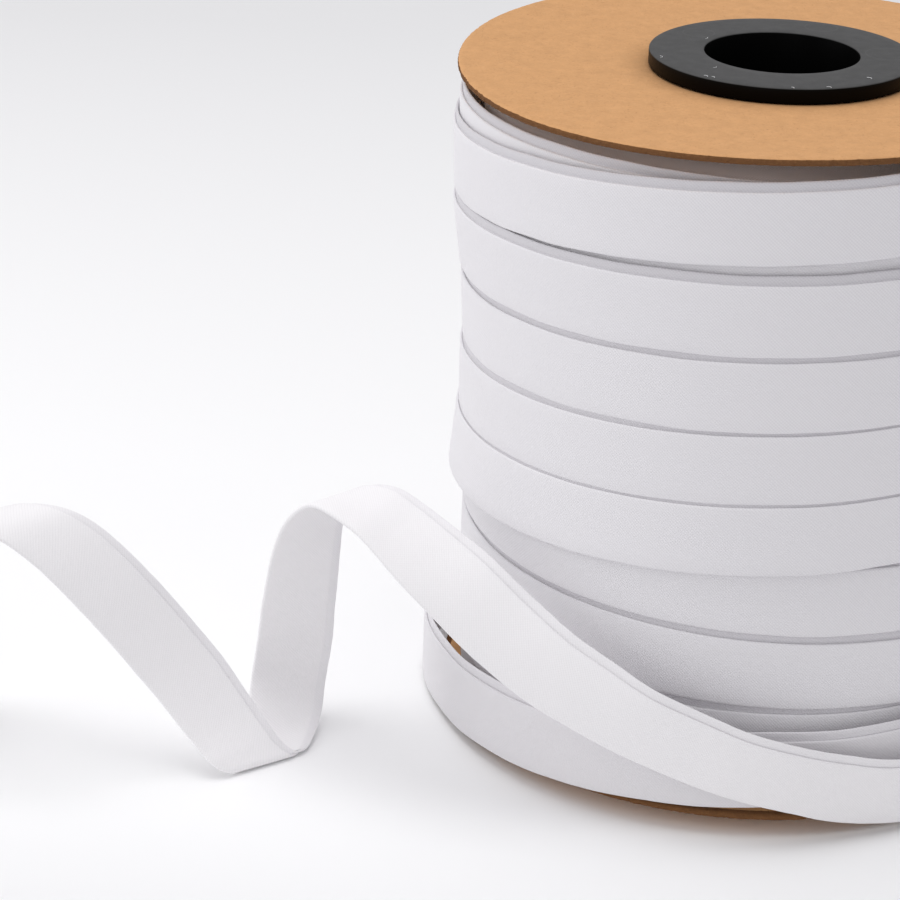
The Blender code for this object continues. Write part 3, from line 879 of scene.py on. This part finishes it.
# %% Hub halves
SLEEVE_R, BORE_R, COLLAR_T = 18.4 * MM, 15.0 * MM, 2.9 * MM
SLEEVE_GAP = 0.15 * MM             # from the middle of the reel to each sleeve's end
ROUNDING, ROUNDING_STEPS = 0.28 * MM, 4
hub_low, hub_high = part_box("hub_top")
COLLAR_R = (hub_high.x - hub_low.x) / 2
HUB_SHIFT = Vector(((hub_low.x + hub_high.x) / 2 - AXIS.x, 0.0, 0.0))
HUB_STEPS = 160
reflect_marks_node = add_node(plastic_tree, "ShaderNodeGroup", node_tree=reflect_marks)
reflect_marks_node.inputs["Middle"].default_value = AXIS + HUB_SHIFT
plastic_tree.links.new(plastic_place.outputs["Object"], reflect_marks_node.inputs["Place"])
plastic_tree.links.new(reflect_marks_node.outputs["Color"], plastic_shader.inputs["Base Color"])


def hub_profile(outer_z, sleeve_end_z):
    """Closed profile of one half, with every rim slightly rounded."""
    inward = 1.0 if sleeve_end_z > outer_z else -1.0
    soft = ROUNDING

    def at(radius, depth):
        return (radius, outer_z + inward * depth)

    rim, lip = [], []
    for step in range(ROUNDING_STEPS + 1):
        turn = pi / 2 * step / ROUNDING_STEPS
        rim.append(at(COLLAR_R - soft + soft * sin(turn), soft - soft * cos(turn)))
        lip.append(at(BORE_R + soft - soft * sin(turn), soft - soft * cos(turn)))
    return (
        [at(BORE_R + 2.5 * MM, 0.0), at(COLLAR_R - 2.0 * MM, 0.0)]
        + rim
        + [at(COLLAR_R, COLLAR_T - 0.2 * MM), at(COLLAR_R - 0.2 * MM, COLLAR_T)]
        + [at(SLEEVE_R, COLLAR_T)]
        + [(SLEEVE_R, sleeve_end_z), (BORE_R, sleeve_end_z)]
        + lip[::-1]
    )


top_profile = hub_profile(REEL_H, REEL_H / 2 + SLEEVE_GAP)
low_profile = hub_profile(0.0, REEL_H / 2 - SLEEVE_GAP)
top_hub = turned_piece("hub_half_top", top_profile, HUB_STEPS, plastic)
low_hub = turned_piece("hub_half_bottom", low_profile, HUB_STEPS, plastic)
for piece, node in ((top_hub, "hub_top"), (low_hub, "hub_bottom")):
    piece.data.transform(Matrix.Translation(HUB_SHIFT))
    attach(piece, "root")
    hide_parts(node)
    piece.data.set_sharp_from_angle(angle=radians(50.0))

# %% [markdown]
# ## Lint
# A few white fibres lie on the black collar in the photograph. Each is a short
# bent hair on the collar's top, made as a tube with three sides.

# %% Lint on the collar
LINT = [                           # across, back, heading in degrees, length; lengths in mm
    (-22.6, -8.6, 60, 1.6), (-13.6, -20.2, 95, 1.3),
    (-12.2, -20.8, 80, 1.2), (-12.2, -14.0, 20, 1.0),
    (2.6, -24.9, 85, 1.0), (9.2, -23.0, 120, 1.2),
    (16.8, -15.2, 100, 1.5), (-14.6, 7.0, 40, 1.1),
]
HAIR_R, HAIR_STEPS, HAIR_BEND = 0.06 * MM, 5, 14
hairs = bmesh.new()
for across, back, heading, length in LINT:
    rings = []
    foot = AXIS + HUB_SHIFT + Vector((across * MM, back * MM, REEL_H + HAIR_R))
    for step in range(HAIR_STEPS + 1):
        bend = radians(heading + HAIR_BEND * step)
        reach = (step / HAIR_STEPS - 0.5) * length * MM
        middle = foot + Vector((cos(bend), sin(bend), 0.0)) * reach
        side = Vector((-sin(bend), cos(bend), 0.0))
        ring = []
        for k in range(3):
            turn = 2 * pi * k / 3
            around = side * cos(turn) + Vector((0.0, 0.0, sin(turn)))
            ring.append(hairs.verts.new(middle + HAIR_R * around))
        rings.append(ring)
    for near, far in zip(rings, rings[1:]):
        for k in range(3):
            hairs.faces.new((near[k], near[(k + 1) % 3], far[(k + 1) % 3], far[k]))
    hairs.faces.new(rings[0][::-1])
    hairs.faces.new(rings[-1])
bmesh.ops.recalc_face_normals(hairs, faces=hairs.faces)
hair_finish, _, hair_shader = new_material("white_lint", (0.75, 0.75, 0.76), 0.8)
hair_shader.inputs["Specular IOR Level"].default_value = 0.2
lint = keep_piece("lint_on_collar", hairs, hair_finish)
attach(lint, "root")

# %% [markdown]
# ## Floor and light
# The set is a white table under large soft lights. The floor is one pale sheet with painted shade, greyer
# behind the reel and at the front where less light reaches it, as the photograph has it. The world lights
# everything evenly, a ceiling panel darkens the gap under the card, and weak panels at the left and in front
# shape the bands. The plain view keeps the whites as bright as in the photograph.

# %% Floor
FLOOR_WHITE, FLOOR_SHADE_GREY = (0.965, 0.965, 0.97), (0.76, 0.76, 0.77)
BEHIND_FROM, BEHIND_RISE, BEHIND_SHARE = 0.10, 2.4, 0.55
FRONT_FROM, FRONT_RISE = -0.06, 9.0

floor_shape = bmesh.new()
bmesh.ops.create_grid(floor_shape, x_segments=8, y_segments=8, size=3.0)
floor_finish, floor_tree, floor_shader = new_material("white_table", FLOOR_WHITE, 0.6)
floor_place = add_node(floor_tree, "ShaderNodeTexCoord")
floor_split = add_node(floor_tree, "ShaderNodeSeparateXYZ")
floor_tree.links.new(floor_place.outputs["Object"], floor_split.inputs[0])
# The floor is painted greyer behind the reel and at the front: painted shade, where less light reaches it.
past_behind = do_math(floor_tree, "SUBTRACT", floor_split.outputs["Y"], BEHIND_FROM)
behind = do_math(floor_tree, "MULTIPLY", past_behind, BEHIND_RISE, clamp=True)
past_front = do_math(floor_tree, "SUBTRACT", FRONT_FROM, floor_split.outputs["Y"])
in_front = do_math(floor_tree, "MULTIPLY", past_front, FRONT_RISE, clamp=True)
behind_shade = do_math(floor_tree, "MULTIPLY", behind, BEHIND_SHARE)
floor_shade_mix = add_node(floor_tree, "ShaderNodeMix", data_type="RGBA")
floor_shade_mix.inputs["A"].default_value = (*FLOOR_WHITE, 1.0)
floor_shade_mix.inputs["B"].default_value = (*FLOOR_SHADE_GREY, 1.0)
floor_tree.links.new(do_math(floor_tree, "MAXIMUM", behind_shade, in_front), floor_shade_mix.inputs["Factor"])
floor_tree.links.new(floor_shade_mix.outputs["Result"], floor_shader.inputs["Base Color"])
floor = keep_piece("white_table", floor_shape, floor_finish, smooth=False)


# %% Lights
def soft_panel(name, place, aim, size, power):
    """A square lamp at place, in metres from the foot of the reel's axis."""
    light_data = bpy.data.lights.new(name, "AREA")
    light_data.shape = "SQUARE"
    light_data.size = size
    light_data.energy = power
    lamp = bpy.data.objects.new(name, light_data)
    lamp.location = AXIS + Vector(place)
    lamp.rotation_euler = (Vector(aim) - Vector(place)).to_track_quat("-Z", "Y").to_euler()
    bpy.context.scene.collection.objects.link(lamp)
    print(name, "gives", power, "W")


soft_panel("window_left", (-1.0, -0.15, 0.5), (0.0, 0.0, 0.06), 0.7, 2.2)
soft_panel("ceiling", (-0.2, 0.0, 1.3), (0.0, 0.0, 0.05), 0.9, 6.6)
soft_panel("front_fill", (-0.3, -1.1, 0.25), (-0.05, 0.0, 0.02), 0.6, 1.0)

world = bpy.data.worlds.new("bright_room")
world.use_nodes = True
world.node_tree.nodes["Background"].inputs["Color"].default_value = (0.985, 0.98, 1.0, 1.0)
world.node_tree.nodes["Background"].inputs["Strength"].default_value = 0.61
bpy.context.scene.world = world
bpy.context.scene.view_settings.view_transform = "Standard"
